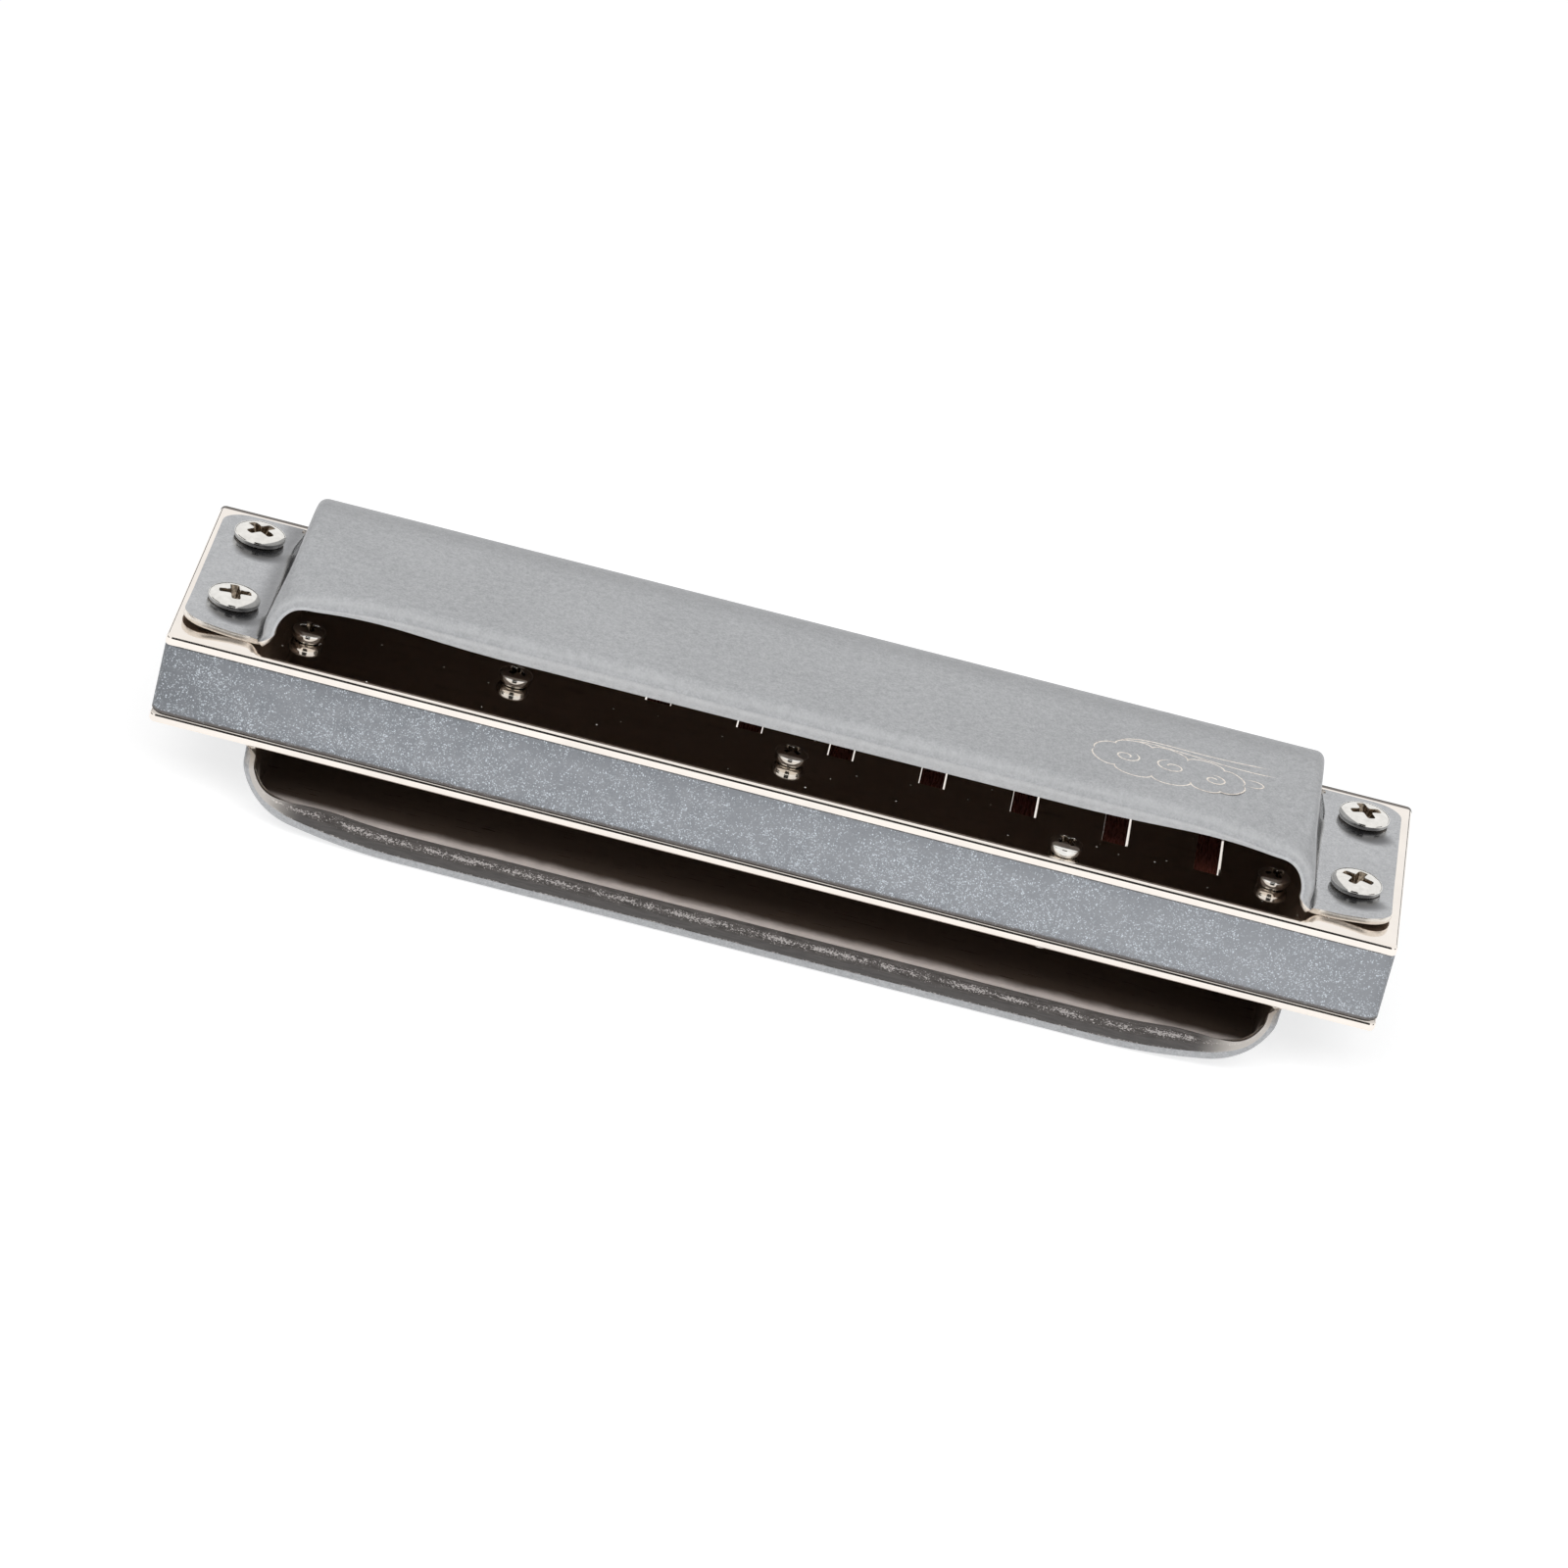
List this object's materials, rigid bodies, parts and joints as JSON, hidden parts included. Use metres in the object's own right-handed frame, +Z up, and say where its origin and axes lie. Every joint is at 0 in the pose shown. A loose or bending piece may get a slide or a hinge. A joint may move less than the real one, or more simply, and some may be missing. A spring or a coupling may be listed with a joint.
{
  "type": "diatonic harmonica",
  "caption": "Diatonic mouth harmonica with a flat comb, reed plates with swinging reeds and two open-backed sheet metal covers held by bolts.",
  "frame": {"origin": "centre of the bounding box at its base, on the flat crown of the lower cover", "axes": "+X along the length towards hole 1, the lowest note; +Y towards the mouth holes, so the open backs face -Y; +Z up, blow reed plate above"},
  "size_m": [0.099, 0.0264, 0.0217],
  "materials": {
    "cover": "satin bead-blasted grey sheet steel",
    "reed_plate": "polished nickel plating on brass",
    "comb": "grey moulding with fine metal flakes",
    "fastener": "polished nickel plated steel",
    "reed": "rolled phosphor bronze",
    "rivet": "headed brass"
  },
  "bodies": {
    "body": {"comb": "comb", "blow_reed_plate": "reed_plate", "draw_reed_plate": "reed_plate", "upper_cover": "cover", "lower_cover": "cover", "cover_bolts": "fastener", "cover_nuts": "fastener", "reed_plate_screws": "fastener", "blow_reed_feet": "reed", "draw_reed_feet": "reed", "blow_reed_rivets": "rivet", "draw_reed_rivets": "rivet"},
    "blow_reed_01": {"blow_reed_01": "reed"},
    "blow_reed_02": {"blow_reed_02": "reed"},
    "blow_reed_03": {"blow_reed_03": "reed"},
    "blow_reed_04": {"blow_reed_04": "reed"},
    "blow_reed_05": {"blow_reed_05": "reed"},
    "blow_reed_06": {"blow_reed_06": "reed"},
    "blow_reed_07": {"blow_reed_07": "reed"},
    "blow_reed_08": {"blow_reed_08": "reed"},
    "blow_reed_09": {"blow_reed_09": "reed"},
    "blow_reed_10": {"blow_reed_10": "reed"},
    "draw_reed_01": {"draw_reed_01": "reed"},
    "draw_reed_02": {"draw_reed_02": "reed"},
    "draw_reed_03": {"draw_reed_03": "reed"},
    "draw_reed_04": {"draw_reed_04": "reed"},
    "draw_reed_05": {"draw_reed_05": "reed"},
    "draw_reed_06": {"draw_reed_06": "reed"},
    "draw_reed_07": {"draw_reed_07": "reed"},
    "draw_reed_08": {"draw_reed_08": "reed"},
    "draw_reed_09": {"draw_reed_09": "reed"},
    "draw_reed_10": {"draw_reed_10": "reed"}
  },
  "joints": [
    {"name": "blow_reed_01_swing", "type": "hinge", "parent": "body", "child": "blow_reed_01", "pos_m": [0.03375, 0.00695, 0.01365], "axis": [1, 0, 0], "range_deg": [-4, 4], "stiffness_Nm_per_rad": 0.011},
    {"name": "blow_reed_02_swing", "type": "hinge", "parent": "body", "child": "blow_reed_02", "pos_m": [0.02625, 0.00695, 0.01365], "axis": [1, 0, 0], "range_deg": [-4, 4], "stiffness_Nm_per_rad": 0.014},
    {"name": "blow_reed_03_swing", "type": "hinge", "parent": "body", "child": "blow_reed_03", "pos_m": [0.01875, 0.00695, 0.01365], "axis": [1, 0, 0], "range_deg": [-4, 4], "stiffness_Nm_per_rad": 0.016},
    {"name": "blow_reed_04_swing", "type": "hinge", "parent": "body", "child": "blow_reed_04", "pos_m": [0.01125, 0.00695, 0.01365], "axis": [1, 0, 0], "range_deg": [-4, 4], "stiffness_Nm_per_rad": 0.023},
    {"name": "blow_reed_05_swing", "type": "hinge", "parent": "body", "child": "blow_reed_05", "pos_m": [0.00375, 0.00695, 0.01365], "axis": [1, 0, 0], "range_deg": [-4, 4], "stiffness_Nm_per_rad": 0.03},
    {"name": "blow_reed_06_swing", "type": "hinge", "parent": "body", "child": "blow_reed_06", "pos_m": [-0.00375, 0.00695, 0.01365], "axis": [1, 0, 0], "range_deg": [-4, 4], "stiffness_Nm_per_rad": 0.034},
    {"name": "blow_reed_07_swing", "type": "hinge", "parent": "body", "child": "blow_reed_07", "pos_m": [-0.01125, 0.00695, 0.01365], "axis": [1, 0, 0], "range_deg": [-4, 4], "stiffness_Nm_per_rad": 0.048},
    {"name": "blow_reed_08_swing", "type": "hinge", "parent": "body", "child": "blow_reed_08", "pos_m": [-0.01875, 0.00695, 0.01365], "axis": [1, 0, 0], "range_deg": [-4, 4], "stiffness_Nm_per_rad": 0.061},
    {"name": "blow_reed_09_swing", "type": "hinge", "parent": "body", "child": "blow_reed_09", "pos_m": [-0.02625, 0.00695, 0.01365], "axis": [1, 0, 0], "range_deg": [-4, 4], "stiffness_Nm_per_rad": 0.07},
    {"name": "blow_reed_10_swing", "type": "hinge", "parent": "body", "child": "blow_reed_10", "pos_m": [-0.03375, 0.00695, 0.01365], "axis": [1, 0, 0], "range_deg": [-4, 4], "stiffness_Nm_per_rad": 0.11},
    {"name": "draw_reed_01_swing", "type": "hinge", "parent": "body", "child": "draw_reed_01", "pos_m": [0.03375, -0.00855, 0.00685], "axis": [1, 0, 0], "range_deg": [-4, 4], "stiffness_Nm_per_rad": 0.014},
    {"name": "draw_reed_02_swing", "type": "hinge", "parent": "body", "child": "draw_reed_02", "pos_m": [0.02625, -0.00755, 0.00685], "axis": [1, 0, 0], "range_deg": [-4, 4], "stiffness_Nm_per_rad": 0.02},
    {"name": "draw_reed_03_swing", "type": "hinge", "parent": "body", "child": "draw_reed_03", "pos_m": [0.01875, -0.00658, 0.00685], "axis": [1, 0, 0], "range_deg": [-4, 4], "stiffness_Nm_per_rad": 0.026},
    {"name": "draw_reed_04_swing", "type": "hinge", "parent": "body", "child": "draw_reed_04", "pos_m": [0.01125, -0.00565, 0.00685], "axis": [1, 0, 0], "range_deg": [-4, 4], "stiffness_Nm_per_rad": 0.029},
    {"name": "draw_reed_05_swing", "type": "hinge", "parent": "body", "child": "draw_reed_05", "pos_m": [0.00375, -0.00476, 0.00685], "axis": [1, 0, 0], "range_deg": [-4, 4], "stiffness_Nm_per_rad": 0.033},
    {"name": "draw_reed_06_swing", "type": "hinge", "parent": "body", "child": "draw_reed_06", "pos_m": [-0.00375, -0.00392, 0.00685], "axis": [1, 0, 0], "range_deg": [-4, 4], "stiffness_Nm_per_rad": 0.042},
    {"name": "draw_reed_07_swing", "type": "hinge", "parent": "body", "child": "draw_reed_07", "pos_m": [-0.01125, -0.00313, 0.00685], "axis": [1, 0, 0], "range_deg": [-4, 4], "stiffness_Nm_per_rad": 0.043},
    {"name": "draw_reed_08_swing", "type": "hinge", "parent": "body", "child": "draw_reed_08", "pos_m": [-0.01875, -0.00242, 0.00685], "axis": [1, 0, 0], "range_deg": [-4, 4], "stiffness_Nm_per_rad": 0.048},
    {"name": "draw_reed_09_swing", "type": "hinge", "parent": "body", "child": "draw_reed_09", "pos_m": [-0.02625, -0.00179, 0.00685], "axis": [1, 0, 0], "range_deg": [-4, 4], "stiffness_Nm_per_rad": 0.055},
    {"name": "draw_reed_10_swing", "type": "hinge", "parent": "body", "child": "draw_reed_10", "pos_m": [-0.03375, -0.00135, 0.00685], "axis": [1, 0, 0], "range_deg": [-4, 4], "stiffness_Nm_per_rad": 0.075}
  ]
}
